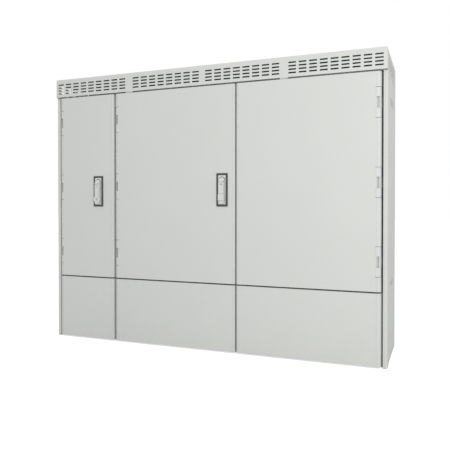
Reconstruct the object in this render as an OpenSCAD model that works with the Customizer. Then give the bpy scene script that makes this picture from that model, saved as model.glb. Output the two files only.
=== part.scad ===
// Roadside utility cabinet: folded sheet enclosure with three doors on a plinth.
// Origin: centre of the footprint on the ground. +Z up, the doors face -Y.

/* [Cabinet] */
// Overall width
cab_w = 2000; // [1600:10:2400]
// Overall height
cab_h = 1600; // [1300:10:2000]
// Depth from the roof front to the rear panel, without the handles
cab_d = 500; // [400:10:700]
// Height of the seam between plinth and doors
plinth_h = 380; // [250:5:480]
// Height of the roof band
roof_h = 110; // [100:2:160]
// Outer left side to the middle of the first door gap
left_bay_w = 423; // [380:5:560]

/* [Sheet and frame] */
// Thickness of panels, skins and plates
sheet_t = 2; // [1.5:0.5:3]
// Visible width of the front posts beside the doors
post_face_w = 21; // [18:1:40]
// Width of the front posts behind the doors
post_w = 88; // [84:1:110]
// Depth of the front frame members
frame_depth = 40; // [30:5:60]
// Side of the square rear posts
rear_post_w = 50; // [40:5:70]
// Width of the mullion between the left and the main bay
mullion_w = 96; // [94:1:120]
// Height of the lintel rail
lintel_h = 35; // [30:5:50]
// Height of the sill rail above and below the seam
sill_half_h = 35; // [30:5:45]
// Height of the base rails
base_rail_h = 30; // [20:5:50]
// Width of the base rails
base_rail_w = 60; // [50:5:90]
// Diameter of the anchor holes in the base rails
anchor_hole_d = 18; // [12:1:24]

/* [Doors] */
// Gap around the doors
door_gap = 8; // [5:0.5:12]
// How far the doors stand in front of the posts
door_proud = 14; // [8:1:20]
// Depth of the door trays
door_depth = 30; // [28:1:40]
// Radius of the rolled hinge edge, which is also the inset of the hinge pin
roll_r = 20; // [18:0.5:24]
// Radius of the free edge of a door
free_r = 8; // [5:0.5:10]
// Width of the groove beside each edge profile
groove_w = 1.6; // [1:0.1:2.5]
// How far the door seal reaches behind the hinge barrels, up to the frame
seal_t = 6; // [4:1:14]
// Width of the door seal
seal_w = 12; // [8:1:14]

/* [Hinges] */
// Height of a hinge
hinge_h = 152; // [120:2:180]
// Width of the open seam above and below a hinge
hinge_seam = 2; // [1:0.5:3]
// Height of the frame knuckle in the middle of a hinge
knuckle_h = 55; // [40:1:70]
// Diameter of the hinge pins
pin_d = 10; // [8:0.5:12]
// Heights of the three hinges on each door
hinge_z = [534, 930, 1328];

/* [Roof] */
// How far the roof front stands in front of the posts
roof_proud = 16; // [16:1:24]
// Radius of the upper edges and the front corners of the roof
roof_r = 10; // [6:1:20]
// Open seam between the roof and the posts and panels
roof_seam = 3; // [2:0.5:6]
// Distance from one vent row to the next
vent_row_pitch = 18; // [16:0.5:20]
// Height of a vent slot
vent_h = 8; // [5:0.5:10]
// Length of a vent slot on the roof
vent_l = 41; // [30:1:46]
// Distance from one vent column to the next
vent_pitch = 55.3; // [48:0.1:62]
// Gap between the outer and the inner vent groups
vent_group_gap = 50; // [40:1:80]
// Gap between the two inner vent groups
vent_middle_gap = 38; // [30:1:80]

/* [Handles] */
// Height of the lever pivot
pivot_z = 957; // [900:1:1000]
// Width of the dark surround
surround_w = 67; // [64:1:80]
// Height of the dark surround
surround_h = 184; // [180:1:200]
// Visible width of the dark band of the surround
surround_band = 12; // [8:0.5:13]
// Distance from the left handle to the first gap
left_handle_inset = 110; // [80:1:140]
// Distance from the centre handle to the second gap
centre_handle_inset = 78; // [70:1:140]
// Width of the lever
lever_w = 30; // [28:1:36]
// Thickness of the lever
lever_t = 16; // [14:1:18]
// Length of the lever below its pivot
lever_l = 132; // [125:1:145]
// Travel of the locking rods
rod_travel = 18; // [12:1:22]

/* [Inside] */
// Distance between the hole columns of the equipment rails
rack_spacing = 465.1; // [465.1:0.1:515]
// Distance between the holes of the equipment rails
rack_pitch = 44.45; // [44.45:0.05:50]
// Bore of the large cable glands
gland_bore_d = 40; // [32:1:50]

/* [Hidden] */
$fn = 48;

// Clearances: a running fit, pieces that pass each other, and overshoot of a cut
fit = 0.05;
run_gap = 0.3;
cut = 1;

// Colours of the finishes
light_grey = "#cfcfca";
frame_grey = "#b9b9b4";
zinc = "#a9adb0";
dark = "#4a4d50";
black = "#242628";
brass = "#b0893c";
copper = "#b26f42";

// Handle build-up in front of the door skin
base_proud = 4;
surround_proud = 3;
cover_t = 2;
handle_out = base_proud + lever_t + cover_t + 2 * run_gap;

// Planes from front to back
y_back = (cab_d + handle_out - (roof_proud - door_proud)) / 2;
y_roof = y_back - cab_d;
y_post = y_roof + roof_proud;
y_door = y_post - door_proud;
y_tray = y_door + door_depth;
y_frame = y_door + 2 * roll_r + seal_t;
y_inner = y_frame + frame_depth;
y_pin = y_door + roll_r;

// Levels from the ground up
seam_half = 4;
panel_z0 = 9;
panel_z1 = plinth_h - seam_half;
door_z0 = plinth_h + seam_half;
z_roof = cab_h - roof_h;
door_z1 = z_roof - door_gap;
sill_z0 = plinth_h - sill_half_h;
sill_z1 = plinth_h + sill_half_h;
z_top = z_roof - roof_seam;
lintel_z0 = z_top - lintel_h;
floor_top = plinth_h + sheet_t;

// Door edges and gaps from left to right
half_w = cab_w / 2;
hinge_edge = half_w - post_face_w - door_gap;
x_gap1 = -half_w + left_bay_w;
x_gap2 = (x_gap1 + hinge_edge + door_gap / 2) / 2;
left_x = [-hinge_edge, x_gap1 - door_gap / 2];
centre_x = [x_gap1 + door_gap / 2, x_gap2 - door_gap / 2];
right_x = [x_gap2 + door_gap / 2, hinge_edge];
post_in = half_w - post_w;
seal_hinge_inset = 2 * roll_r + 2;
seal_free_inset = 14;
mullion_x = x_gap1 + (seal_hinge_inset - seal_free_inset) / 2;

// Handles
x_left_handle = x_gap1 - left_handle_inset;
x_centre_handle = x_gap2 - centre_handle_inset;
surround_z = pivot_z - 55;
base_w = surround_w - 2 * surround_band;
base_h = surround_h - 2 * surround_band;
y_lever = y_door - base_proud - run_gap - lever_t;
lever_axis_z = pivot_z - 19;
lever_axis_y = y_lever + lever_t / 2;
lever_z0 = pivot_z - lever_l;
left_lock_z = lever_z0 + 29;
centre_lock_z = lever_z0 + 36;
plug_r = 8;
cap_r = 21;
cap_pivot_z = left_lock_z + cap_r - 7;
rivet_r = 3;
rivet_l = 6;
spindle_r = 8;
drive_r = rod_travel / (PI / 2);

// Locking rods
rod_w = 10;
rod_t = 6;
rod_y = y_door + 14;
keeper_t = 3;
tip_gap = 2;
tip_h = 12;
tip_back = 8;
rod_top = lintel_z0 - keeper_t - tip_gap;
rod_bottom = sill_z1 + keeper_t + tip_gap;
bolt_l = 160;
x_bolt = right_x[0] + 40;

// A box between two corners
module block(low, high) {
    translate(low) cube(high - low);
}

// A cylinder along Y whose front face is at y
module rod_along_y(x, y, z, r, length) {
    translate([x, y, z]) rotate([-90, 0, 0]) cylinder(r = r, h = length);
}

// A closed rectangular tube between two corners, open along one axis (0 = x, 2 = z)
module tube(low, high, wall, axis) {
    inset = [for (i = [0:2]) i == axis ? -cut : wall];
    difference() {
        block(low, high);
        block(low + inset, high - inset);
    }
}

// ---- Plinth ----

anchor_x = post_in - 60;

module base_rails() {
    x_in = half_w - rear_post_w;
    rear_y = y_back - sheet_t - base_rail_w;
    color(zinc) {
        base_rail_long(y_frame);
        base_rail_long(rear_y);
        for (side = [-1, 1]) {
            x0 = side > 0 ? half_w - sheet_t - base_rail_w : -half_w + sheet_t;
            tube([x0, y_inner + base_rail_w - frame_depth, 0],
                 [x0 + base_rail_w, rear_y, base_rail_h], 3, 1);
        }
    }
}

module base_rail_long(y) {
    difference() {
        tube([-post_in, y, 0], [post_in, y + base_rail_w, base_rail_h], 3, 0);
        for (x = [-anchor_x, anchor_x]) {
            translate([x, y + base_rail_w / 2, -cut])
                cylinder(d = anchor_hole_d, h = base_rail_h + 2 * cut);
        }
    }
}

// Plan of a front post: the strip beside the door and the wide part behind it
module front_post_plan() {
    outer_r = 4;
    post_fold = post_face_w - 8;
    difference() {
        union() {
            intersection() {
                square_between([0, y_post], [post_face_w, y_inner]);
                union() {
                    translate([outer_r, y_post + outer_r]) circle(outer_r);
                    square_between([outer_r, y_post], [post_face_w, y_inner]);
                    square_between([0, y_post + outer_r], [post_face_w, y_inner]);
                }
            }
            square_between([0, y_frame], [post_w, y_inner]);
        }
        square_between([3, y_post + 5], [post_face_w - 3, y_inner - 3]);
        square_between([3, y_frame + 3], [post_w - 3, y_inner - 3]);
        square_between([post_fold, y_post - cut], [post_fold + groove_w, y_post + 1]);
    }
}

module square_between(low, high) {
    translate(low) square(high - low);
}

// A front post on one side (-1 left, 1 right) between two heights
module front_post(side, z0, z1) {
    mirror([side > 0 ? 1 : 0, 0, 0])
        translate([-half_w, 0, z0])
            linear_extrude(z1 - z0) front_post_plan();
}

module rear_post(side, z0, z1) {
    x0 = side > 0 ? half_w - rear_post_w : -half_w;
    tube([x0, y_back - rear_post_w, z0], [x0 + rear_post_w, y_back, z1], 3, 2);
}

module plinth_posts() {
    color(frame_grey) {
        for (side = [-1, 1]) {
            front_post(side, 0, plinth_h);
            rear_post(side, 0, plinth_h);
        }
    }
}

module plinth_panel_left() { plinth_panel(left_x, 1); }
module plinth_panel_centre() { plinth_panel(centre_x, 1); }
module plinth_panel_right() { plinth_panel(right_x, -1); }

// A front plinth panel with the rolled edge on the left (1) or the right (-1)
module plinth_panel(xs, hand) {
    lug = 30;
    color(light_grey) {
        tray(xs, hand, panel_z0, panel_z1);
        for (x = [xs[0] + 60, xs[1] - 60 - lug]) {
            block([x, y_door + sheet_t, sill_z0 + 4], [x + lug, y_frame, panel_z1 - 8]);
            block([x, y_door + sheet_t, panel_z0 + 3], [x + lug, y_frame, base_rail_h - 2]);
        }
    }
}

module plinth_panels_side() {
    y1 = y_back - rear_post_w;
    color(light_grey) {
        for (x = [-half_w, half_w - sheet_t]) {
            block([x, y_inner, panel_z0], [x + sheet_t, y1, plinth_h]);
        }
    }
}

module plinth_panel_rear() {
    x1 = half_w - rear_post_w;
    color(light_grey)
        block([-x1, y_back - sheet_t, panel_z0], [x1, y_back, plinth_h]);
}

// ---- Floor and cable entries ----

gland_x = concat(
    [x_gap1 - 243, x_gap1 - 123],
    [x_gap2 - 379, x_gap2 - 259, x_gap2 - 139],
    [half_w - 440, half_w - 320, half_w - 200]
);
gland_y = y_back - 150;
gland_body_r = gland_bore_d / 2 + 8;

module floor_plate() {
    x_side = half_w - sheet_t;
    x_rear = half_w - rear_post_w;
    color(zinc) difference() {
        union() {
            block([-x_side, y_inner, plinth_h], [x_side, y_back - rear_post_w, floor_top]);
            block([-x_rear, y_inner, plinth_h], [x_rear, y_back - sheet_t, floor_top]);
        }
        for (x = gland_x) {
            translate([x, gland_y, plinth_h - cut])
                cylinder(r = gland_body_r + fit, h = sheet_t + 2 * cut);
        }
    }
}

module cable_glands() {
    color(black) for (x = gland_x) {
        translate([x, gland_y, floor_top]) difference() {
            union() {
                cylinder(r = gland_body_r + 5, h = 6);
                cylinder(r = gland_body_r, h = 24);
                translate([0, 0, -sheet_t - 14]) cylinder(r = gland_body_r, h = sheet_t + 15);
                translate([0, 0, -sheet_t - 8]) cylinder(r = gland_body_r + 6, h = 8, $fn = 6);
            }
            translate([0, 0, -sheet_t - 14 - cut]) cylinder(d = gland_bore_d, h = 60);
        }
    }
}

// ---- Body frame and panels ----

module post_front_left() { color(light_grey) front_post(-1, plinth_h, z_top); }
module post_front_right() { color(light_grey) front_post(1, plinth_h, z_top); }

module posts_rear() {
    color(light_grey) {
        rear_post(-1, plinth_h, z_top);
        rear_post(1, plinth_h, z_top);
    }
}

module mullion() {
    color(frame_grey)
        tube([mullion_x - mullion_w / 2, y_frame, sill_z1],
             [mullion_x + mullion_w / 2, y_inner, lintel_z0], 3, 2);
}

module sill_rail() {
    color(frame_grey) tube([-post_in, y_frame, sill_z0], [post_in, y_inner, sill_z1], 3, 0);
}

module lintel_rail() {
    color(frame_grey) difference() {
        tube([-post_in, y_frame, lintel_z0], [post_in, y_inner, z_top], 3, 0);
        for (x = [-roof_bolt_x, roof_bolt_x]) {
            translate([x, roof_bolt_ys[0], z_top - 5]) cylinder(r = bolt_r + fit, h = 10);
        }
    }
}

module side_panel_left() { side_panel(-1); }
module side_panel_right() { side_panel(1); }

// A side panel with a high and a low group of vent slots
module side_panel(side) {
    x0 = side > 0 ? half_w - sheet_t : -half_w;
    y1 = y_back - rear_post_w;
    color(light_grey) difference() {
        block([x0, y_inner, plinth_h], [x0 + sheet_t, y1, z_top]);
        side_vents(x0, y1, z_roof - 145, 3);
        side_vents(x0, y1, plinth_h + 12, 2);
    }
}

module side_vents(x0, y1, z0, rows) {
    slot_l = 40;
    pitch = 52;
    count = 4;
    y_mid = (y_inner + y1) / 2;
    for (row = [0:rows - 1], i = [0:count - 1]) {
        y = y_mid + (i - (count - 1) / 2) * pitch;
        translate([x0 - cut, y - slot_l / 2, z0 + row * 14])
            cube([sheet_t + 2 * cut, slot_l, 6]);
    }
}

module rear_panel() {
    x1 = half_w - rear_post_w;
    color(light_grey)
        block([-x1, y_back - sheet_t, plinth_h], [x1, y_back, z_top]);
}

module partition() {
    color(zinc)
        block([mullion_x - sheet_t / 2, y_inner, floor_top],
              [mullion_x + sheet_t / 2, y_back - sheet_t, z_top]);
}

module ceiling_plate() {
    edge = sheet_t + 1;
    color(zinc) difference() {
        block([-half_w + edge, y_roof + flange_l + 1, z_top],
              [half_w - edge, y_back - edge, z_top + sheet_t]);
        for (x = [-roof_bolt_x, roof_bolt_x], y = roof_bolt_ys) {
            translate([x, y, z_top - cut]) cylinder(r = bolt_r + fit, h = sheet_t + 2 * cut);
        }
    }
}

// ---- Roof ----

bolt_r = 6;
bolt_head_r = 12;
roof_bolt_x = half_w - 140;
roof_bolt_ys = [y_frame + frame_depth / 2, y_back - 80];
vent_rows = 4;
flange_l = 13;
vent_top = 34;

// The outer form of the roof, drawn in by a wall
module roof_form(wall) {
    r = roof_r - wall;
    intersection() {
        translate([0, 0, z_roof - cut]) linear_extrude(roof_h + 2 * cut) {
            square_between([-half_w + wall, y_roof + roof_r], [half_w - wall, y_back - wall]);
            square_between([-half_w + roof_r, y_roof + wall], [half_w - roof_r, y_back - wall]);
            for (x = [-half_w + roof_r, half_w - roof_r]) {
                translate([x, y_roof + roof_r]) circle(r);
            }
        }
        rotate([90, 0, 90]) translate([0, 0, -half_w - cut]) linear_extrude(cab_w + 2 * cut) {
            square_between([y_roof + wall, z_roof - (wall > 0 ? cut : 0)], [y_back - wall, cab_h - roof_r]);
            square_between([y_roof + roof_r, z_roof - (wall > 0 ? cut : 0)], [y_back - wall, cab_h - wall]);
            translate([y_roof + roof_r, cab_h - roof_r]) circle(r);
        }
        translate([0, y_back + cut, 0]) rotate([90, 0, 0]) linear_extrude(cab_d + 2 * cut) {
            square_between([-half_w + wall, z_roof - cut], [half_w - wall, cab_h - roof_r]);
            square_between([-half_w + roof_r, z_roof - cut], [half_w - roof_r, cab_h - wall]);
            for (x = [-half_w + roof_r, half_w - roof_r]) {
                translate([x, cab_h - roof_r]) circle(r);
            }
        }
    }
}

// Left ends of the vent slots right of the middle; the left half mirrors them
inner_columns = 8;
inner_end = vent_middle_gap / 2 + (inner_columns - 1) * vent_pitch + vent_l;
outer_x0 = inner_end + vent_group_gap;
outer_columns = floor((half_w - post_face_w + 2 - outer_x0 - vent_l) / vent_pitch) + 1;
vent_xs = concat(
    [for (i = [0:inner_columns - 1]) vent_middle_gap / 2 + i * vent_pitch],
    [for (i = [0:outer_columns - 1]) outer_x0 + i * vent_pitch]
);

// Vent slots through the roof front, in four groups
module front_vents() {
    for (side = [0, 1], x = vent_xs, row = [0:vent_rows - 1]) {
        z = cab_h - vent_top - row * vent_row_pitch;
        mirror([side, 0, 0]) translate([x, y_roof - cut, z - vent_h / 2])
            cube([vent_l, sheet_t + 2 * cut, vent_h]);
    }
}

// Vent slots through both roof sides
module roof_side_vents() {
    count = floor((cab_d - 80) / vent_pitch);
    y0 = y_roof + 50;
    for (i = [0:count - 1], row = [0:vent_rows - 1]) {
        z = cab_h - vent_top - row * vent_row_pitch;
        translate([-half_w - cut, y0 + i * vent_pitch, z - vent_h / 2])
            cube([cab_w + 2 * cut, vent_l, vent_h]);
    }
}

module roof_cap() {
    color(light_grey) difference() {
        union() {
            difference() {
                roof_form(0);
                roof_form(sheet_t);
            }
            block([-half_w + roof_r, y_roof + sheet_t / 2, z_roof],
                  [half_w - roof_r, y_roof + flange_l, z_roof + sheet_t]);
        }
        front_vents();
        roof_side_vents();
        for (x = [-roof_bolt_x, roof_bolt_x], y = roof_bolt_ys) {
            translate([x, y, cab_h - 10]) cylinder(r = bolt_head_r + fit, h = 20);
        }
    }
}

// Spacers under the roof edge, between the vent groups
module roof_lugs() {
    lug_w = 44;
    lug_x = inner_end + vent_group_gap / 2;
    color(light_grey) for (x = [-lug_x, lug_x]) {
        block([x - lug_w / 2, y_roof + 2, z_roof - 6], [x + lug_w / 2, y_roof + 12, z_roof]);
    }
}

// Flush head, stem down to the ceiling plate, and a collar under the roof sheet
module roof_bolts() {
    color(zinc) for (x = [-roof_bolt_x, roof_bolt_x], y = roof_bolt_ys) {
        translate([x, y, 0]) {
            translate([0, 0, cab_h - sheet_t]) cylinder(r = bolt_head_r, h = sheet_t);
            translate([0, 0, z_top - 4]) cylinder(r = bolt_r, h = cab_h - sheet_t - z_top + 4);
            translate([0, 0, z_top + sheet_t]) cylinder(r = bolt_head_r, h = 8);
        }
    }
}

// ---- Inside ----

rack_rail_w = 20;
rack_rail_d = 30;
rack_rail_t = 3;
rack_ys = [y_inner + 50, y_back - 110];

module rack_rails() {
    color(zinc) for (y = rack_ys, side = [-1, 1]) {
        rack_rail(x_gap2 + side * rack_spacing / 2, y, side);
    }
}

// One equipment rail: an angle with a column of holes in its front leg
module rack_rail(x, y, side) {
    count = floor((z_top - floor_top - 60) / rack_pitch);
    back_x = side > 0 ? x + rack_rail_w / 2 - rack_rail_t : x - rack_rail_w / 2;
    difference() {
        union() {
            block([x - rack_rail_w / 2, y, floor_top], [x + rack_rail_w / 2, y + rack_rail_t, z_top]);
            block([back_x, y, floor_top], [back_x + rack_rail_t, y + rack_rail_d, z_top]);
        }
        for (i = [0:count - 1]) {
            rod_along_y(x, y - cut, floor_top + 40 + i * rack_pitch, 3.5, rack_rail_t + 2 * cut);
        }
    }
}

module mounting_plate() {
    flange = 25;
    margin = 30;
    x0 = -half_w + post_w + margin;
    x1 = mullion_x - mullion_w / 2 - margin;
    y1 = y_back - sheet_t;
    z0 = floor_top + 80;
    z1 = z_roof - 80;
    color(zinc) {
        block([x0, y1 - flange, z0], [x1, y1 - flange + sheet_t, z1]);
        block([x0, y1 - flange, z0], [x0 + sheet_t, y1, z1]);
        block([x1 - sheet_t, y1 - flange, z0], [x1, y1, z1]);
    }
}

earth_z = floor_top + 60;

module earth_bar() {
    x0 = x_gap2 - 120;
    y1 = y_back - sheet_t;
    count = 8;
    color(copper) difference() {
        union() {
            block([x0, y1 - 25, earth_z], [x0 + 240, y1 - 20, earth_z + 25]);
            for (x = [x0 + 30, x0 + 210]) {
                rod_along_y(x, y1 - 20, earth_z + 12.5, 10, 20);
            }
        }
        for (i = [0:count - 1]) {
            rod_along_y(x0 + 15 + i * 30, y1 - 30, earth_z + 12.5, 4.5, 10);
        }
    }
}

// Wear plates under the lintel and on the sill, one for each rod or bolt
module keepers() {
    half = 22;
    upper_x = [x_left_handle + drive_r, x_centre_handle + drive_r, x_bolt];
    lower_x = [x_left_handle - drive_r - rod_w, x_centre_handle - drive_r - rod_w, x_bolt];
    color(zinc) {
        for (x = upper_x) {
            block([x + rod_w / 2 - half, y_frame, lintel_z0 - keeper_t],
                  [x + rod_w / 2 + half, y_inner, lintel_z0]);
        }
        for (x = lower_x) {
            block([x + rod_w / 2 - half, y_frame, sill_z1],
                  [x + rod_w / 2 + half, y_inner, sill_z1 + keeper_t]);
        }
    }
}

// ---- Hinges ----

knuckle_r = roll_r - 1;
eye_r = pin_d / 2 + 6;
knuckle_x = -roll_r * 0.45;
barrel_r = roll_r - 0.4;
barrel_x = sqrt(pow(barrel_r, 2) - pow(roll_r - sheet_t, 2));
hinge_cut_x = barrel_x + 0.25;
hinge_plate_x = [16, 48];
pin_xs = [left_x[0] + roll_r, centre_x[0] + roll_r, right_x[1] - roll_r];
hinge_hands = [1, 1, -1];

// Places its children at a hinge pin, mirrored for a right-hand hinge
module at_pin(door, z) {
    translate([pin_xs[door], y_pin, z]) mirror([hinge_hands[door] < 0 ? 1 : 0, 0, 0]) children();
}

// Frame knuckle with the arm that reaches back to the post or mullion
module frame_hinges() {
    arm_y = [5, 13];
    half = knuckle_h / 2 - run_gap;
    color(light_grey) for (door = [0:2], z = hinge_z) {
        reach = door == 1 ? 0 : roll_r + door_gap;
        at_pin(door, z) difference() {
            union() {
                translate([0, 0, -half]) cylinder(r = eye_r, h = 2 * half);
                intersection() {
                    translate([0, 0, -half]) cylinder(r = knuckle_r, h = 2 * half);
                    block([-knuckle_r, -knuckle_r, -half], [knuckle_x, knuckle_r, half]);
                }
                block([knuckle_x - cut, 0, -half], [0, arm_y[1] - 2, half]);
                if (door == 1) {
                    block([-14, 5, -half], [-4, y_frame - y_pin, half]);
                } else {
                    block([-reach, arm_y[0], -half], [0, arm_y[1], half]);
                }
            }
            translate([0, 0, -half - cut]) cylinder(d = pin_d + 2 * fit, h = 2 * half + 2 * cut);
        }
    }
}

module hinge_pins() {
    color(zinc) for (door = [0:2], z = hinge_z) {
        at_pin(door, z) {
            translate([0, 0, -hinge_h / 2 + 6]) cylinder(d = pin_d, h = hinge_h - 8);
        }
    }
}

// Door side of the three hinges: two barrels on one plate behind the skin
module door_hinges(door) {
    plate_y = [-roll_r + sheet_t, -roll_r + sheet_t + 6];
    front_y = -barrel_r;
    flush_x = hinge_cut_x - 0.4;
    half = (hinge_h - hinge_seam) / 2;
    inner = knuckle_h / 2 + run_gap;
    color(light_grey) for (z = hinge_z) {
        at_pin(door, z) difference() {
            union() {
                translate([0, 0, inner]) cylinder(r = barrel_r, h = half - inner);
                translate([0, 0, -half]) cylinder(r = barrel_r, h = half - inner);
                for (z0 = [inner, -half]) {
                    z1 = z0 + half - inner;
                    block([0, front_y, z0], [flush_x, plate_y[1], z1]);
                    block([0, plate_y[0], z0], [hinge_plate_x[1], plate_y[1], z1]);
                }
                block([hinge_plate_x[0], plate_y[0], -half], [hinge_plate_x[1], plate_y[1], half]);
            }
            translate([0, 0, -half + 2]) cylinder(d = pin_d + 2 * fit, h = hinge_h);
        }
    }
}

// ---- Doors ----

// Plan of a tray, rolled at x = 0 and with the free edge at x = w, drawn in by a wall
module tray_plan(w, wall, back) {
    intersection() {
        square_between([wall, wall], [w - wall, back]);
        union() {
            square_between([roll_r, 0], [w - free_r, back]);
            square_between([0, roll_r], [w, back]);
            square_between([roll_r, free_r], [w, back]);
            translate([roll_r, roll_r]) circle(roll_r - wall);
            translate([w - free_r, free_r]) circle(free_r - wall);
        }
    }
}

// A sheet tray between two heights, closed at the top and the bottom
module tray(xs, hand, z0, z1) {
    w = xs[1] - xs[0];
    x0 = hand > 0 ? xs[0] : xs[1];
    translate([x0, y_door, 0]) mirror([hand > 0 ? 0 : 1, 0, 0]) difference() {
        translate([0, 0, z0]) linear_extrude(z1 - z0) tray_plan(w, 0, door_depth);
        translate([0, 0, z0 + sheet_t]) linear_extrude(z1 - z0 - 2 * sheet_t)
            tray_plan(w, sheet_t, door_depth + cut);
        for (x = [roll_r + 0.5, w - free_r - 2 - groove_w]) {
            block([x, -cut, z0 - cut], [x + groove_w, sheet_t * 0.6, z1 + cut]);
        }
    }
}

// Clears the rolled edge for the hinges
module hinge_cuts(door) {
    for (z = hinge_z) {
        at_pin(door, z) {
            half = (hinge_h + hinge_seam) / 2;
            for (z0 = [-half, knuckle_h / 2]) {
                block([-roll_r - cut, -roll_r - cut, z0],
                      [hinge_cut_x, 2 * roll_r, z0 + half - knuckle_h / 2]);
            }
            block([-roll_r - cut, -roll_r - cut, -knuckle_h / 2 - cut],
                  [2, 2 * roll_r, knuckle_h / 2 + cut]);
            translate([0, 0, -knuckle_h / 2]) cylinder(r = knuckle_r + run_gap, h = knuckle_h);
        }
    }
}

module door_skin(xs, hand, door) {
    color(light_grey) difference() {
        tray(xs, hand, door_z0, door_z1);
        hinge_cuts(door);
        children();
    }
}

module door_left_skin() { door_skin(left_x, 1, 0) handle_cutout(x_left_handle); }
module door_centre_skin() { door_skin(centre_x, 1, 1) handle_cutout(x_centre_handle); }
module door_right_skin() { door_skin(right_x, -1, 2); }

// Horizontal stiffeners behind the skin; the rods run over them between cheeks
module stiffeners(xs, hand, rods) {
    inset = [roll_r + hinge_plate_x[1] + 2, 16];
    x0 = xs[0] + (hand > 0 ? inset[0] : inset[1]);
    x1 = xs[1] - (hand > 0 ? inset[1] : inset[0]);
    depth = rod_y - run_gap;
    cheek = 4;
    color(zinc) for (z = [door_z0 + 150, door_z1 - 150]) {
        block([x0, y_door + sheet_t, z - 20], [x1, depth, z + 20]);
        for (x = rods) {
            for (x0 = [x - run_gap - cheek, x + rod_w + run_gap]) {
                block([x0, depth, z - 15], [x0 + cheek, rod_y + rod_t, z + 15]);
            }
        }
    }
}

function rods_at(x) = [x + drive_r, x - drive_r - rod_w];

module door_left_stiffeners() { stiffeners(left_x, 1, rods_at(x_left_handle)); }
module door_centre_stiffeners() { stiffeners(centre_x, 1, rods_at(x_centre_handle)); }
module door_right_stiffeners() { stiffeners(right_x, -1, [x_bolt]); }

// Foam seal on the back of a tray, inboard of the hinges
module seal(xs, hand) {
    x0 = xs[0] + (hand > 0 ? seal_hinge_inset : seal_free_inset);
    x1 = xs[1] - (hand > 0 ? seal_free_inset : seal_hinge_inset);
    z0 = door_z0 + seal_free_inset;
    z1 = door_z1 - seal_free_inset;
    seat = 4;
    color(black) difference() {
        union() {
            block([x0, y_tray, z0], [x1, y_frame - run_gap, z1]);
            for (z = [door_z0 + sheet_t, door_z1 - sheet_t - seat]) {
                block([x0, y_tray - seat, z], [x1, y_tray, z + seat]);
            }
            block([x0, y_tray - seat, door_z0 + sheet_t], [x0 + seal_w, y_tray, door_z1 - sheet_t]);
            block([x1 - seal_w, y_tray - seat, door_z0 + sheet_t], [x1, y_tray, door_z1 - sheet_t]);
        }
        block([x0 + seal_w, y_tray - seat - cut, z0 + seal_w], [x1 - seal_w, y_frame + cut, z1 - seal_w]);
    }
}

module door_left_seal() { seal(left_x, 1); }
module door_centre_seal() { seal(centre_x, 1); }
module door_right_seal() { seal(right_x, -1); }

module door_left_hinges() { door_hinges(0); }
module door_centre_hinges() { door_hinges(1); }
module door_right_hinges() { door_hinges(2); }

// ---- Handles ----

module rounded_plate(x, z, w, h, r, y0, y1) {
    translate([x, y0, z]) rotate([-90, 0, 0]) linear_extrude(y1 - y0) {
        square([w - 2 * r, h], center = true);
        square([w, h - 2 * r], center = true);
        for (i = [-1, 1], k = [-1, 1]) {
            translate([i * (w / 2 - r), k * (h / 2 - r)]) circle(r);
        }
    }
}

module handle_cutout(x) {
    rounded_plate(x, surround_z, base_w - 6, base_h - 6, 2, y_door - cut, y_door + sheet_t + cut);
}

module surround(x) {
    color(dark) difference() {
        rounded_plate(x, surround_z, surround_w, surround_h, 3, y_door - surround_proud, y_door);
        rounded_plate(x, surround_z, base_w, base_h, 2, y_door - surround_proud - cut, y_door + cut);
    }
}

module surround_left() { surround(x_left_handle); }
module surround_centre() { surround(x_centre_handle); }

// Shallow pocket that the lever and its arched head lie over
module lever_pocket(x) {
    half = lever_w / 2 + 3.5;
    y0 = y_door - base_proud - cut;
    depth = base_proud - 1 + cut;
    rod_along_y(x, y0, pivot_z, half, depth);
    block([x - half, y0, lever_z0 + 4], [x + half, y0 + depth, pivot_z]);
}

// Bezel in the surround, with the housing that passes through the skin
module handle_base(x) {
    color(light_grey) difference() {
        union() {
            rounded_plate(x, surround_z, base_w, base_h, 2, y_door - base_proud, y_door);
            rounded_plate(x, surround_z, base_w - 6, base_h - 6, 2, y_door, y_door + 12);
        }
        lever_pocket(x);
        rod_along_y(x, y_door - base_proud - cut, pivot_z, spindle_r + fit, 30);
    }
}

module handle_base_left() { handle_base(x_left_handle); }
module handle_base_centre() { handle_base(x_centre_handle); }

// Head whose front slopes back to the bezel, and whose arch lies in the pocket
module spindle_head(x, head_r, z0) {
    y_arch = y_door - base_proud + 1.5;
    y_top = y_arch - 3;
    z_top_edge = pivot_z + head_r;
    difference() {
        union() {
            intersection() {
                rod_along_y(x, y_lever, pivot_z, head_r, y_arch - y_lever);
                block([x - head_r, y_lever - cut, pivot_z], [x + head_r, y_arch + cut, z_top_edge]);
            }
            block([x - head_r, y_lever, z0], [x + head_r, y_lever + lever_t, pivot_z]);
        }
        translate([x - head_r - cut, 0, 0]) rotate([90, 0, 90]) linear_extrude(2 * (head_r + cut))
            polygon([[y_lever, z0 + 4], [y_top, z_top_edge], [y_top, z_top_edge + cut],
                     [y_lever - cut, z_top_edge + cut], [y_lever - cut, z0 + 4]]);
    }
}

// Sloped head with the lug that carries the lever, and the drive disc behind the door
module spindle(x) {
    head_r = lever_w / 2;
    lug_r = lever_t / 2 - 1.5;
    head_z0 = lever_axis_z + lever_t / 2 + 0.5;
    color(light_grey) union() {
        spindle_head(x, head_r, head_z0);
        block([x - 4, lever_axis_y - lug_r, lever_axis_z], [x + 4, lever_axis_y + lug_r, head_z0 + 1]);
        along_x(x, 4, lug_r);
        along_x(x, lever_w / 2 - 4, 2.5);
        rod_along_y(x, y_lever + lever_t - cut, pivot_z, spindle_r, rod_y + rod_t - y_lever - lever_t + cut);
    }
    color(zinc) rod_along_y(x, rod_y, pivot_z, drive_r - run_gap, rod_t);
}

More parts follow.
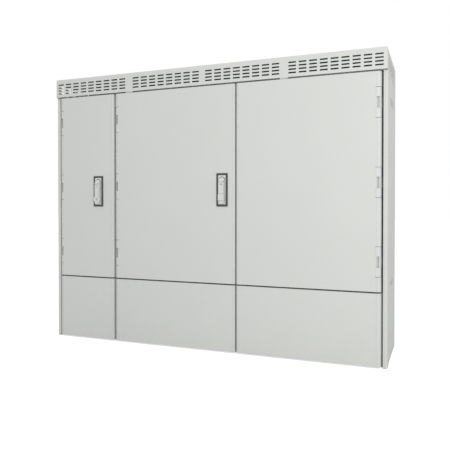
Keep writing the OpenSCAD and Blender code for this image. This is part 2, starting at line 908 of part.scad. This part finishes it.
// A cylinder along X on the lever axis, with a half length
module along_x(x, half, r) {
    translate([x - half, lever_axis_y, lever_axis_z]) rotate([0, 90, 0]) cylinder(r = r, h = 2 * half);
}

module spindle_left() { spindle(x_left_handle); }
module spindle_centre() { spindle(x_centre_handle); }

module lever(x, lock_z) {
    slot_half = 4 + run_gap;
    corner_r = 8;
    color(light_grey) difference() {
        union() {
            along_x(x, lever_w / 2, lever_t / 2 - 0.2);
            block([x - lever_w / 2, y_lever, lever_z0 + corner_r],
                  [x + lever_w / 2, y_lever + lever_t, lever_axis_z]);
            block([x - lever_w / 2 + corner_r, y_lever, lever_z0],
                  [x + lever_w / 2 - corner_r, y_lever + lever_t, lever_axis_z]);
            for (x0 = [x - lever_w / 2 + corner_r, x + lever_w / 2 - corner_r]) {
                rod_along_y(x0, y_lever, lever_z0 + corner_r, corner_r, lever_t);
            }
        }
        block([x - slot_half, y_lever - cut, lever_axis_z - 9],
              [x + slot_half, y_lever + lever_t + cut, pivot_z]);
        along_x(x, lever_w / 2 - 4 + run_gap, 2.5 + fit);
        rod_along_y(x, y_lever - cut, lock_z, plug_r + fit, lever_t + 2 * cut);
    }
}

module lever_left() {
    color(light_grey) difference() {
        lever(x_left_handle, left_lock_z);
        rod_along_y(x_left_handle, y_lever - cut, cap_pivot_z, rivet_r + fit, rivet_l + cut);
    }
}
module lever_centre() { lever(x_centre_handle, centre_lock_z); }

module lock_plug(x, z) {
    color(brass) difference() {
        rod_along_y(x, y_lever, z, plug_r, lever_t);
        block([x - 1, y_lever - cut, z - 4.5], [x + 1, y_lever + 5, z + 4.5]);
    }
}

module lock_plug_left() { lock_plug(x_left_handle, left_lock_z); }
module lock_plug_centre() { lock_plug(x_centre_handle, centre_lock_z); }

// Round cap that swings aside on its rivet above the keyhole
module lock_cap_left() {
    y0 = y_lever - run_gap - cover_t;
    color(light_grey) {
        rod_along_y(x_left_handle, y0, left_lock_z, cap_r, cover_t);
        rod_along_y(x_left_handle, y0, cap_pivot_z, rivet_r, cover_t + rivet_l);
    }
}

// Sleeve around the lever that slides up from the keyhole
module lock_cover_centre() {
    half_h = 18.5;
    in = lever_w / 2 + run_gap;
    out = in + 1.5;
    y0 = y_lever - run_gap - cover_t;
    low = centre_lock_z - half_h;
    high = centre_lock_z + half_h;
    color(light_grey) {
        block([x_centre_handle - out, y0, low], [x_centre_handle + out, y0 + cover_t, high]);
        for (x = [x_centre_handle - out, x_centre_handle + in]) {
            block([x, y0, low], [x + 1.5, y_lever + lever_t - 4, high]);
        }
    }
}

// ---- Locking rods and bolts ----

// A flat rod whose tip reaches back through the doorway; way is 1 for up and -1 for down
module rod(x, z_in, z_tip, way) {
    z0 = min(z_in, z_tip);
    z1 = max(z_in, z_tip);
    tip_z0 = way > 0 ? z_tip - tip_h : z_tip;
    color(zinc) {
        block([x, rod_y, z0], [x + rod_w, rod_y + rod_t, z1]);
        block([x, rod_y, tip_z0], [x + rod_w, y_frame + tip_back, tip_z0 + tip_h]);
    }
}

module rod_upper(x) { rod(x + drive_r, pivot_z - 20, rod_top, 1); }
module rod_lower(x) { rod(x - drive_r - rod_w, pivot_z + 20, rod_bottom, -1); }
module rod_upper_left() { rod_upper(x_left_handle); }
module rod_lower_left() { rod_lower(x_left_handle); }
module rod_upper_centre() { rod_upper(x_centre_handle); }
module rod_lower_centre() { rod_lower(x_centre_handle); }
module bolt_upper() { rod(x_bolt, rod_top - bolt_l, rod_top, 1); }
module bolt_lower() { rod(x_bolt, rod_bottom + bolt_l, rod_bottom, -1); }

// Guide plates of the two bolts of the right door
module bolt_guides() {
    cheek = 4;
    plate = 12;
    color(zinc) for (z = [rod_top - 60, rod_bottom + 60]) {
        block([x_bolt - plate, y_door + sheet_t, z - 15], [x_bolt + rod_w + plate, rod_y - run_gap, z + 15]);
        for (x = [x_bolt - run_gap - cheek, x_bolt + rod_w + run_gap]) {
            block([x, rod_y - run_gap, z - 15], [x + cheek, rod_y + rod_t, z + 15]);
        }
    }
}

base_rails();
plinth_posts();
plinth_panel_left();
plinth_panel_centre();
plinth_panel_right();
plinth_panels_side();
plinth_panel_rear();
floor_plate();
cable_glands();
post_front_left();
post_front_right();
posts_rear();
mullion();
sill_rail();
lintel_rail();
side_panel_left();
side_panel_right();
rear_panel();
partition();
ceiling_plate();
roof_cap();
roof_lugs();
roof_bolts();
rack_rails();
mounting_plate();
earth_bar();
keepers();
frame_hinges();
hinge_pins();
door_left_skin();
door_left_stiffeners();
door_left_seal();
door_left_hinges();
door_centre_skin();
door_centre_stiffeners();
door_centre_seal();
door_centre_hinges();
door_right_skin();
door_right_stiffeners();
door_right_seal();
door_right_hinges();
bolt_guides();
surround_left();
surround_centre();
handle_base_left();
handle_base_centre();
spindle_left();
spindle_centre();
lever_left();
lever_centre();
lock_plug_left();
lock_plug_centre();
lock_cap_left();
lock_cover_centre();
rod_upper_left();
rod_lower_left();
rod_upper_centre();
rod_lower_centre();
bolt_upper();
bolt_lower();
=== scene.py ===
import math

import bmesh
import bpy
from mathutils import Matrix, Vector


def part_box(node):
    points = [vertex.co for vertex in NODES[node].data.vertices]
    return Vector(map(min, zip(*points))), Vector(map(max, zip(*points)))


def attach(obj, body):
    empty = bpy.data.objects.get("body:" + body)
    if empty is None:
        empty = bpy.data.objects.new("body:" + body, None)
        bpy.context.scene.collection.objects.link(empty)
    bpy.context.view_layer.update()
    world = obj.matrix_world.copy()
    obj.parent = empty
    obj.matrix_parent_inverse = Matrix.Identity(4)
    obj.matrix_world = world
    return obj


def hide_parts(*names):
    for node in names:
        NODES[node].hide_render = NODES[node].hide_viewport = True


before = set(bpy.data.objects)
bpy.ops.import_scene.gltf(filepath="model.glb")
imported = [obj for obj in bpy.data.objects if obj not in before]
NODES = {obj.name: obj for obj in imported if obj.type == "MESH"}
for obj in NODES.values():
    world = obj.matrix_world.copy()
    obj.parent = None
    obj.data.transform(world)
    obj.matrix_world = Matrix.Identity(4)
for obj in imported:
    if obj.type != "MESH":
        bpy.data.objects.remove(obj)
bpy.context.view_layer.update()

MM = 0.001

# ---------------------------------------------------------------- node helpers


def add(tree, kind, sockets=None, **settings):
    """A shader node with its settings; sockets takes numbers or other nodes' outputs."""
    made = tree.nodes.new(kind)
    for name, value in settings.items():
        setattr(made, name, value)
    for socket, value in (sockets or {}).items():
        if isinstance(value, bpy.types.NodeSocket):
            tree.links.new(value, made.inputs[socket])
        else:
            made.inputs[socket].default_value = value
    return made


def math_node(tree, operation, a, b=0.0, clamp=False, c=0.0):
    made = add(tree, "ShaderNodeMath", {0: a, 1: b, 2: c}, operation=operation, use_clamp=clamp)
    return made.outputs[0]


def scaled(tree, value, low, high, out_low, out_high):
    made = add(tree, "ShaderNodeMapRange", {
        "Value": value, "From Min": low, "From Max": high, "To Min": out_low, "To Max": out_high})
    return made.outputs["Result"]


def blended(tree, share, a, b, mode="MIX"):
    made = add(tree, "ShaderNodeMix", {0: share, 6: a, 7: b}, data_type="RGBA", blend_type=mode)
    return made.outputs[2]


def noise(tree, where, scale, detail=2.0, roughness=0.5):
    made = add(tree, "ShaderNodeTexNoise", {
        "Vector": where, "Scale": scale, "Detail": detail, "Roughness": roughness})
    return made.outputs[0]


def place(tree):
    """Position on the piece, in metres."""
    return add(tree, "ShaderNodeTexCoord").outputs["Object"]


def group(name, inputs, outputs):
    """An empty shader group with its sockets, its input node and its output node."""
    tree = bpy.data.node_groups.new(name, "ShaderNodeTree")
    for socket, kind, value in inputs:
        made = tree.interface.new_socket(socket, in_out="INPUT", socket_type=kind)
        made.default_value = value
    for socket, kind in outputs:
        tree.interface.new_socket(socket, in_out="OUTPUT", socket_type=kind)
    return tree, tree.nodes.new("NodeGroupInput"), tree.nodes.new("NodeGroupOutput")


def use(tree, shared, sockets):
    """Places a shared group in a material."""
    made = tree.nodes.new("ShaderNodeGroup")
    made.node_tree = shared
    for socket, value in sockets.items():
        if isinstance(value, bpy.types.NodeSocket):
            tree.links.new(value, made.inputs[socket])
        else:
            made.inputs[socket].default_value = value
    return made


# ---------------------------------------------------------------- shared finishes

NUMBER = "NodeSocketFloat"
COLOUR = "NodeSocketColor"


def orange_peel_group():
    """Fine ripple of a sprayed or moulded skin, as a height."""
    tree, given, result = group("orange_peel", [("Scale", NUMBER, 500.0)], [("Height", NUMBER)])
    where = place(tree)
    wide = noise(tree, where, given.outputs["Scale"], 1.0)
    fine = noise(tree, where, math_node(tree, "MULTIPLY", given.outputs["Scale"], 3.1), 2.0)
    tree.links.new(math_node(tree, "MULTIPLY_ADD", fine, 0.35, c=wide), result.inputs["Height"])
    return tree


def tone_drift_group():
    """Slow drift of a colour over the surface, with a share of finer specks."""
    tree, given, result = group(
        "tone_drift",
        [("Color", COLOUR, (0.6, 0.6, 0.6, 1.0)), ("Scale", NUMBER, 3.0),
         ("Amount", NUMBER, 0.03), ("Specks", NUMBER, 0.0)],
        [("Color", COLOUR)])
    where = place(tree)
    slow = noise(tree, where, given.outputs["Scale"], 3.0, 0.6)
    speck = noise(tree, where, 900.0, 1.0)
    drift = math_node(tree, "MULTIPLY", math_node(tree, "SUBTRACT", slow, 0.5), given.outputs["Amount"])
    grain = math_node(tree, "MULTIPLY", math_node(tree, "SUBTRACT", speck, 0.5), given.outputs["Specks"])
    gain = math_node(tree, "ADD", math_node(tree, "ADD", drift, grain), 1.0)
    colour = add(tree, "ShaderNodeVectorMath", {0: given.outputs["Color"], "Scale": gain},
                 operation="SCALE").outputs[0]
    tree.links.new(colour, result.inputs["Color"])
    return tree


def edge_highlight_and_wear_group():
    """Mask of the folded and cut edges, broken up by noise; the finishes use it for wear and for a painted
    edge highlight.
    """
    tree, given, result = group(
        "edge_highlight_and_wear", [("Radius", NUMBER, 0.002), ("Break up", NUMBER, 60.0)], [("Mask", NUMBER)])
    rounded = add(tree, "ShaderNodeBevel", {"Radius": given.outputs["Radius"]}, samples=4)
    flat = add(tree, "ShaderNodeNewGeometry").outputs["Normal"]
    dot = add(tree, "ShaderNodeVectorMath", {0: rounded.outputs[0], 1: flat}, operation="DOT_PRODUCT")
    edge = scaled(tree, dot.outputs["Value"], 0.998, 0.86, 0.0, 1.0)
    patch = scaled(tree, noise(tree, place(tree), given.outputs["Break up"], 3.0), 0.3, 0.7, 0.4, 1.0)
    tree.links.new(math_node(tree, "MULTIPLY", edge, patch, True), result.inputs["Mask"])
    return tree


def street_dust_group():
    """Mask of fine dust that settles low down and on faces that look up."""
    tree, given, result = group(
        "street_dust", [("Reach", NUMBER, 0.25), ("Amount", NUMBER, 0.1)], [("Mask", NUMBER)])
    where = place(tree)
    height = add(tree, "ShaderNodeSeparateXYZ", {0: where}).outputs["Z"]
    low = math_node(tree, "DIVIDE", height, given.outputs["Reach"])
    low = math_node(tree, "POWER", math_node(tree, "SUBTRACT", 1.0, low, True), 2.0)
    facing = add(tree, "ShaderNodeNewGeometry").outputs["Normal"]
    up = add(tree, "ShaderNodeSeparateXYZ", {0: facing}).outputs["Z"]
    up = scaled(tree, up, 0.5, 1.0, 0.0, 0.5)
    patch = scaled(tree, noise(tree, where, 14.0, 4.0, 0.65), 0.35, 0.75, 0.2, 1.0)
    mask = math_node(tree, "MULTIPLY", math_node(tree, "MAXIMUM", low, up), patch)
    mask = math_node(tree, "MULTIPLY", mask, given.outputs["Amount"], True)
    tree.links.new(mask, result.inputs["Mask"])
    return tree


def drawn_lines_group():
    """Fine drawn or milled lines along one direction, as a height and a mask."""
    tree, given, result = group(
        "drawn_lines", [("Stretch", "NodeSocketVector", (40.0, 900.0, 900.0))],
        [("Height", NUMBER), ("Mask", NUMBER)])
    where = add(tree, "ShaderNodeVectorMath", {0: place(tree), 1: given.outputs["Stretch"]},
                operation="MULTIPLY").outputs[0]
    line = noise(tree, where, 1.0, 3.0, 0.6)
    tree.links.new(line, result.inputs["Height"])
    tree.links.new(scaled(tree, line, 0.3, 0.7, 0.0, 1.0), result.inputs["Mask"])
    return tree


ORANGE_PEEL = orange_peel_group()
TONE_DRIFT = tone_drift_group()
EDGE_HIGHLIGHT_AND_WEAR = edge_highlight_and_wear_group()
STREET_DUST = street_dust_group()
DRAWN_LINES = drawn_lines_group()


# ---------------------------------------------------------------- materials


def start(name):
    """A material with its shader: (material, tree, shader)."""
    made = bpy.data.materials.new(name)
    made.use_nodes = True
    tree = made.node_tree
    return made, tree, tree.nodes["Principled BSDF"]


def set_bump(tree, shader, height, strength, distance):
    bump = add(tree, "ShaderNodeBump", {"Height": height, "Strength": strength, "Distance": distance})
    tree.links.new(bump.outputs[0], shader.inputs["Normal"])


def powder_coat(name, colour, roughness, edge=0.25, dust=0.1, peel=420.0):
    """Sprayed and baked coat: faint ripple, slow drift of tone, a painted highlight on the edges where the
    coat is also thin, a little dust.
    """
    made, tree, shader = start(name)
    base = use(tree, TONE_DRIFT, {
        "Color": (*colour, 1.0), "Scale": 2.2, "Amount": 0.05, "Specks": 0.05}).outputs[0]
    # Painted highlight on the folded edges, mixed with wear of the thin coat there: the edge mask lightens
    # the colour.
    edge_highlight_and_wear_mask = use(tree, EDGE_HIGHLIGHT_AND_WEAR, {"Radius": 0.0015, "Break up": 45.0}).outputs[0]
    bright = tuple(min(1.0, c * 1.22) for c in colour)
    base = blended(tree, math_node(tree, "MULTIPLY", edge_highlight_and_wear_mask, edge), base, (*bright, 1.0))
    dusty = use(tree, STREET_DUST, {"Reach": 0.3, "Amount": dust}).outputs[0]
    base = blended(tree, dusty, base, (0.42, 0.39, 0.34, 1.0))
    tree.links.new(base, shader.inputs["Base Color"])
    drift = noise(tree, place(tree), 7.0, 3.0)
    rough = scaled(tree, drift, 0.3, 0.7, roughness - 0.05, roughness + 0.06)
    tree.links.new(math_node(tree, "ADD", rough, math_node(tree, "MULTIPLY", dusty, 0.3)),
                   shader.inputs["Roughness"])
    set_bump(tree, shader, use(tree, ORANGE_PEEL, {"Scale": peel}).outputs[0], 0.12, 0.00012)
    shader.inputs["Specular IOR Level"].default_value = 0.45
    return made


def galvanised(name):
    """Hot-dip zinc: flat crystals of different grey, dull, with faint drawn lines."""
    made, tree, shader = start(name)
    where = place(tree)
    warp = add(tree, "ShaderNodeTexNoise", {"Vector": where, "Scale": 30.0, "Detail": 2.0}).outputs[1]
    moved = add(tree, "ShaderNodeVectorMath", {0: warp, "Scale": 0.012}, operation="SCALE").outputs[0]
    moved = add(tree, "ShaderNodeVectorMath", {0: where, 1: moved}, operation="ADD").outputs[0]
    cell = add(tree, "ShaderNodeTexVoronoi", {"Vector": moved, "Scale": 85.0}).outputs["Color"]
    shade = add(tree, "ShaderNodeSeparateColor", {0: cell}).outputs[0]
    ramp = blended(tree, shade, (0.42, 0.44, 0.46, 1.0), (0.62, 0.64, 0.66, 1.0))
    base = use(tree, TONE_DRIFT, {"Color": ramp, "Scale": 5.0, "Amount": 0.2, "Specks": 0.08}).outputs[0]
    # Painted highlight on the edges, mixed with wear: the edge mask lightens the zinc towards pale grey.
    edge_highlight_and_wear_mask = use(tree, EDGE_HIGHLIGHT_AND_WEAR, {"Radius": 0.001, "Break up": 90.0}).outputs[0]
    base = blended(tree, math_node(tree, "MULTIPLY", edge_highlight_and_wear_mask, 0.5), base, (0.74, 0.76, 0.78, 1.0))
    tree.links.new(base, shader.inputs["Base Color"])
    tree.links.new(scaled(tree, shade, 0.0, 1.0, 0.34, 0.52), shader.inputs["Roughness"])
    lines = use(tree, DRAWN_LINES, {"Stretch": (900.0, 900.0, 30.0)}).outputs["Height"]
    set_bump(tree, shader, lines, 0.1, 0.0001)
    shader.inputs["Metallic"].default_value = 0.85
    return made


def moulded(name, colour, roughness, grain=900.0, depth=0.25):
    """Moulded plastic with a fine spark-eroded grain, rubbed smooth on the edges, with a painted highlight
    that makes them paler.
    """
    made, tree, shader = start(name)
    base = use(tree, TONE_DRIFT, {
        "Color": (*colour, 1.0), "Scale": 20.0, "Amount": 0.15, "Specks": 0.15}).outputs[0]
    # Painted highlight on the edges, mixed with rubbing: the edge mask makes the colour paler.
    edge_highlight_and_wear_mask = use(tree, EDGE_HIGHLIGHT_AND_WEAR, {"Radius": 0.0012, "Break up": 120.0}).outputs[0]
    pale = tuple(c * 1.9 + 0.02 for c in colour)
    base = blended(tree, math_node(tree, "MULTIPLY", edge_highlight_and_wear_mask, 0.35), base, (*pale, 1.0))
    tree.links.new(base, shader.inputs["Base Color"])
    tree.links.new(math_node(tree, "MULTIPLY_ADD", edge_highlight_and_wear_mask, -0.12, c=roughness), shader.inputs["Roughness"])
    set_bump(tree, shader, use(tree, ORANGE_PEEL, {"Scale": grain}).outputs[0], depth, 0.00015)
    return made


def foam_rubber(name):
    """Closed-cell foam: tiny round cells in a matt black skin."""
    made, tree, shader = start(name)
    where = place(tree)
    cells = add(tree, "ShaderNodeTexVoronoi", {"Vector": where, "Scale": 900.0}).outputs["Distance"]
    base = blended(tree, scaled(tree, cells, 0.0, 0.6, 0.0, 1.0),
                   (0.012, 0.012, 0.013, 1.0), (0.035, 0.035, 0.037, 1.0))
    base = use(tree, TONE_DRIFT, {"Color": base, "Scale": 12.0, "Amount": 0.3}).outputs[0]
    tree.links.new(base, shader.inputs["Base Color"])
    tree.links.new(scaled(tree, cells, 0.0, 0.6, 0.95, 0.75), shader.inputs["Roughness"])
    set_bump(tree, shader, cells, 0.5, 0.0003)
    return made


def machined(name, bright, dull, stretch):
    """Bare metal with drawn lines and a thin tarnish."""
    made, tree, shader = start(name)
    lines = use(tree, DRAWN_LINES, {"Stretch": stretch})
    tarnish = scaled(tree, noise(tree, place(tree), 55.0, 4.0, 0.65), 0.4, 0.7, 0.0, 1.0)
    base = blended(tree, tarnish, (*bright, 1.0), (*dull, 1.0))
    base = use(tree, TONE_DRIFT, {"Color": base, "Scale": 30.0, "Amount": 0.1, "Specks": 0.1}).outputs[0]
    # Painted highlight on the edges, mixed with wear: the edge mask lightens the metal as a shine.
    edge_highlight_and_wear_mask = use(tree, EDGE_HIGHLIGHT_AND_WEAR, {"Radius": 0.0008, "Break up": 150.0}).outputs[0]
    shine = tuple(min(1.0, c * 1.15) for c in bright)
    base = blended(tree, math_node(tree, "MULTIPLY", edge_highlight_and_wear_mask, 0.6), base, (*shine, 1.0))
    tree.links.new(base, shader.inputs["Base Color"])
    rough = scaled(tree, lines.outputs["Mask"], 0.0, 1.0, 0.24, 0.36)
    tree.links.new(math_node(tree, "ADD", rough, math_node(tree, "MULTIPLY", tarnish, 0.15)),
                   shader.inputs["Roughness"])
    set_bump(tree, shader, lines.outputs["Height"], 0.2, 0.00008)
    shader.inputs["Metallic"].default_value = 1.0
    return made


FINISHES = {
    "cabinet_paint": powder_coat("cabinet_powder_coat", (0.585, 0.595, 0.572), 0.5),
    # Darker grey copy of the coat for the inner frame; part of its darkness is painted shade for the gaps
    # between doors and posts.
    "frame_paint": powder_coat("frame_powder_coat_darkened_as_shade", (0.42, 0.425, 0.41), 0.55, edge=0.3),
    "hinge_cast": powder_coat(
        "hinge_powder_coat", (0.59, 0.60, 0.58), 0.48, edge=0.35, dust=0.04, peel=600.0),
    "handle_cast": powder_coat(
        "handle_powder_coat", (0.60, 0.61, 0.59), 0.38, edge=0.3, dust=0.02, peel=800.0),
    "zinc_steel": galvanised("galvanised_zinc"),
    "dark_plastic": moulded("dark_grey_plastic", (0.058, 0.062, 0.058), 0.5),
    "black_plastic": moulded("black_plastic", (0.02, 0.02, 0.021), 0.55, 700.0, 0.35),
    "black_rubber": foam_rubber("black_foam_rubber"),
    "brass": machined("brass_turned", (0.83, 0.62, 0.28), (0.55, 0.37, 0.16), (900.0, 60.0, 900.0)),
    "copper": machined("copper_bar", (0.86, 0.45, 0.30), (0.50, 0.23, 0.14), (50.0, 900.0, 900.0)),
}


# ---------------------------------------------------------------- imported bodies


def smooth_faces_group():
    """Marks every face smooth, so that the weighted normals can round the edges."""
    tree = bpy.data.node_groups.new("smooth_faces", "GeometryNodeTree")
    tree.interface.new_socket("Geometry", in_out="INPUT", socket_type="NodeSocketGeometry")
    tree.interface.new_socket("Geometry", in_out="OUTPUT", socket_type="NodeSocketGeometry")
    given = tree.nodes.new("NodeGroupInput")
    result = tree.nodes.new("NodeGroupOutput")
    smooth = tree.nodes.new("GeometryNodeSetShadeSmooth")
    tree.links.new(given.outputs[0], smooth.inputs["Geometry"])
    tree.links.new(smooth.outputs[0], result.inputs[0])
    return tree


SMOOTH_FACES = smooth_faces_group()

# Edge radius of each kind of piece in millimetres; the rest have the sheet's own
SHEET_EDGE = 0.5
EDGES = {
    "lever_left": 2.4, "lever_centre": 2.4, "spindle_left": 1.6, "spindle_centre": 1.6,
    "surround_left": 1.2, "surround_centre": 1.2, "handle_base_left": 1.2, "handle_base_centre": 1.2,
    "lock_cover_centre": 0.7, "cable_glands": 0.8, "frame_hinges": 0.6,
    "post_front_left": 0.8, "post_front_right": 0.8, "posts_rear": 1.2, "rear_panel": 0.8,
    "side_panel_left": 0.6, "side_panel_right": 0.6,
}


def round_edges(piece, radius, segments=2):
    """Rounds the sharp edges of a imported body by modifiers; its own mesh stays as it is."""
    weld = piece.modifiers.new("weld", "WELD")
    weld.merge_threshold = 0.00001
    bevel = piece.modifiers.new("edge_radius", "BEVEL")
    bevel.width = radius
    bevel.segments = segments
    bevel.limit_method = "ANGLE"
    bevel.angle_limit = math.radians(32)
    bevel.miter_outer = "MITER_ARC"
    smooth = piece.modifiers.new("smooth_faces", "NODES")
    smooth.node_group = SMOOTH_FACES
    normals = piece.modifiers.new("weighted_normals", "WEIGHTED_NORMAL")
    normals.mode = "FACE_AREA"
    normals.weight = 60


def finish_packed_bodies():
    for name, piece in NODES.items():
        for slot in piece.material_slots:
            slot.material = FINISHES[slot.material.name.split(".")[0]]
        round_edges(piece, EDGES.get(name, SHEET_EDGE) * MM)


finish_packed_bodies()


# ---------------------------------------------------------------- shapes for new pieces


def drawn_along_z(outline, z0, z1):
    """A bar whose outline in X and Y runs between two heights."""
    shape = bmesh.new()
    low = [shape.verts.new((x, y, z0)) for x, y in outline]
    high = [shape.verts.new((x, y, z1)) for x, y in outline]
    shape.faces.new(low)
    shape.faces.new(high[::-1])
    for i in range(len(outline)):
        shape.faces.new((low[i - 1], low[i], high[i], high[i - 1]))
    return shape


def turned_along_y(shape, x, z, outline, angle=math.tau, steps=72):
    """Adds a body turned about a line along Y; the outline lists radius and Y, from +X round."""
    points = [shape.verts.new((x + r, y, z)) for r, y in outline]
    lines = [shape.edges.new(pair) for pair in zip(points, points[1:])]
    bmesh.ops.spin(shape, geom=points + lines, cent=(x, 0.0, z), axis=(0.0, -1.0, 0.0),
                   angle=angle, steps=steps, use_duplicate=False)
    bmesh.ops.remove_doubles(shape, verts=shape.verts, dist=0.000001)


def make_piece(name, shape, slot, body, radius=0.3):
    """Turns a shape into a piece in the finish of a slot, riding on a body."""
    bmesh.ops.recalc_face_normals(shape, faces=shape.faces)
    mesh = bpy.data.meshes.new(name)
    shape.to_mesh(mesh)
    shape.free()
    made = bpy.data.objects.new(name, mesh)
    bpy.context.scene.collection.objects.link(made)
    mesh.materials.append(FINISHES[slot])
    round_edges(made, radius * MM)
    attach(made, body)
    return made


# ---------------------------------------------------------------- gap trims, black as painted shade


def right_gap_shade_bead():
    """Black rubber bead on the post beside the right door, in front of the hinge arms; its black is painted
    shade for the deep gap.

    Its front slopes away from the door, which leans over the post when it is wide open.
    """
    low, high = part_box("door_right_skin")
    edge = high[0]
    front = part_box("post_front_right")[0][1] + 0.8 * MM
    section = [(8.0, 0.0), (4.6, 0.0), (3.9, 0.6), (2.8, 3.2), (2.0, 5.6), (1.2, 7.8), (1.4, 8.6), (8.0, 9.0)]
    outline = [(edge + x * MM, front + y * MM) for x, y in section]
    make_piece("gap_shade_bead_right", drawn_along_z(outline, low[2], high[2]), "black_rubber", "cabinet", 0.1)


right_gap_shade_bead()


# ---------------------------------------------------------------- handle details

HANDLE_BODIES = {"left": "door_left", "centre": "door_centre"}
CAP_SHEET = 2.0 * MM
POCKET_DEPTH = 3.0 * MM


def dished_lock_cap():
    """Round cap with a raised rim, a sunk middle and its rivet."""
    low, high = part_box("lock_cap_left")
    radius = (high[0] - low[0]) / 2
    x, z, front = (low[0] + high[0]) / 2, low[2] + radius, low[1]
    back = front + CAP_SHEET
    shape = bmesh.new()
    turned_along_y(shape, x, z, [
        (0.0, front + 1.2 * MM), (radius * 0.50, front + 1.2 * MM), (radius * 0.64, front + 0.9 * MM),
        (radius * 0.72, front + 0.1 * MM), (radius * 0.78, front), (radius * 0.94, front),
        (radius, front + 0.7 * MM), (radius, back), (0.0, back)])
    pivot = z + radius - 7.0 * MM
    turned_along_y(shape, x, pivot, [
        (0.0, back - 0.4 * MM), (2.5 * MM, back - 0.4 * MM), (2.5 * MM, high[1]), (0.0, high[1])], steps=32)
    cap = make_piece("lock_cap_dished", shape, "handle_cast", "cap_left", 0.2)
    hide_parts("lock_cap_left")
    button = bmesh.new()
    turned_along_y(button, x, z, [
        (0.0, front + 0.35 * MM), (radius * 0.2, front + 0.4 * MM), (radius * 0.36, front + 0.75 * MM),
        (radius * 0.40, front + 1.3 * MM), (0.0, front + 1.3 * MM)])
    make_piece("lock_cap_button", button, "zinc_steel", "cap_left", 0.1)


def pocket_shade_ring(side):
    """Half ring of black rubber in the bezel's pocket, around the arch of the head: painted shade for the
    shadow gap round the head.
    """
    low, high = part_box("spindle_" + side)
    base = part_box("handle_base_" + side)[0][1]
    x = (low[0] + high[0]) / 2
    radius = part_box("lever_" + side)[1][0] - x
    z = high[2] - radius
    floor = base + POCKET_DEPTH
    inner, outer = radius + 0.8 * MM, radius + 3.4 * MM
    shape = bmesh.new()
    turned_along_y(shape, x, z, [(inner, floor), (inner, floor - 2.4 * MM), (outer, floor - 2.4 * MM),
                                 (outer, floor), (inner, floor)], angle=math.pi, steps=40)
    ends = [e for e in shape.edges if e.is_boundary]
    bmesh.ops.edgeloop_fill(shape, edges=ends)
    make_piece("pocket_shade_ring_" + side, shape, "black_rubber", HANDLE_BODIES[side], 0.3)


def sleeve_shade_lip(name, z0, z1):
    """Thin dark lip along one edge of the sliding sleeve, painted shadow: it draws the shadow line at the
    sleeve's edge.
    """
    low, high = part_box("lock_cover_centre")
    shape = drawn_along_z([(low[0] + 0.6 * MM, low[1] + 0.5 * MM), (high[0] - 0.6 * MM, low[1] + 0.5 * MM),
                           (high[0] - 0.6 * MM, low[1] + 1.8 * MM), (low[0] + 0.6 * MM, low[1] + 1.8 * MM)],
                          z0, z1)
    make_piece(name, shape, "dark_plastic", "cover_centre", 0.2)


dished_lock_cap()
for side in HANDLE_BODIES:
    pocket_shade_ring(side)
# Painted shadow lines along the sleeve's lower and upper edges.
cover_low, cover_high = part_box("lock_cover_centre")
sleeve_shade_lip("sleeve_shade_lip_lower", cover_low[2] - 1.4 * MM, cover_low[2] + 0.2 * MM)
sleeve_shade_lip("sleeve_shade_lip_upper", cover_high[2] - 0.2 * MM, cover_high[2] + 0.9 * MM)


# ---------------------------------------------------------------- stage, light and camera


def pale_floor():
    half = 30.0
    mesh = bpy.data.meshes.new("floor")
    corners = [(-half, -half, 0), (half, -half, 0), (half, half, 0), (-half, half, 0)]
    mesh.from_pydata(corners, [], [(0, 1, 2, 3)])
    floor = bpy.data.objects.new("floor", mesh)
    bpy.context.scene.collection.objects.link(floor)
    made, tree, shader = start("pale_floor")
    tone = use(tree, TONE_DRIFT, {"Color": (0.7, 0.7, 0.7, 1.0), "Scale": 0.8, "Amount": 0.01}).outputs[0]
    tree.links.new(tone, shader.inputs["Base Color"])
    shader.inputs["Roughness"].default_value = 0.9
    shader.inputs["Specular IOR Level"].default_value = 0.0
    shader.inputs["Emission Color"].default_value = (1.0, 1.0, 1.0, 1.0)
    seen = add(tree, "ShaderNodeLightPath").outputs["Is Camera Ray"]
    tree.links.new(math_node(tree, "MULTIPLY", seen, 0.62), shader.inputs["Emission Strength"])
    mesh.materials.append(made)


def white_surroundings():
    world = bpy.data.worlds.new("white_surroundings")
    bpy.context.scene.world = world
    world.use_nodes = True
    tree = world.node_tree
    background = tree.nodes["Background"]
    background.inputs["Color"].default_value = (1.0, 1.0, 1.0, 1.0)
    seen = add(tree, "ShaderNodeLightPath").outputs["Is Camera Ray"]
    tree.links.new(scaled(tree, seen, 0.0, 1.0, 0.85, 1.0), background.inputs["Strength"])


def soft_light(name, position, target, size, power):
    data = bpy.data.lights.new(name, "AREA")
    data.shape = "SQUARE"
    data.size = size
    data.energy = power
    lamp = bpy.data.objects.new(name, data)
    lamp.location = position
    lamp.rotation_euler = (Vector(target) - Vector(position)).to_track_quat("-Z", "Y").to_euler()
    bpy.context.scene.collection.objects.link(lamp)


def main_camera():
    data = bpy.data.cameras.new("camera")
    data.lens = 42.96
    data.sensor_width = 36.0
    data.shift_x = -0.0102
    data.shift_y = -0.0289
    data.clip_start = 0.05
    data.clip_end = 100.0
    camera = bpy.data.objects.new("camera", data)
    camera.location = (1.2327, -2.9874, 0.8116)
    camera.rotation_euler = (math.radians(89.384), 0.0, math.radians(21.216))
    bpy.context.scene.collection.objects.link(camera)
    bpy.context.scene.camera = camera


pale_floor()
white_surroundings()
soft_light("softbox_front", (2.4, -3.8, 2.0), (0.4, 0.0, 0.8), 2.0, 76.0)
main_camera()
bpy.context.scene.view_settings.view_transform = "Standard"
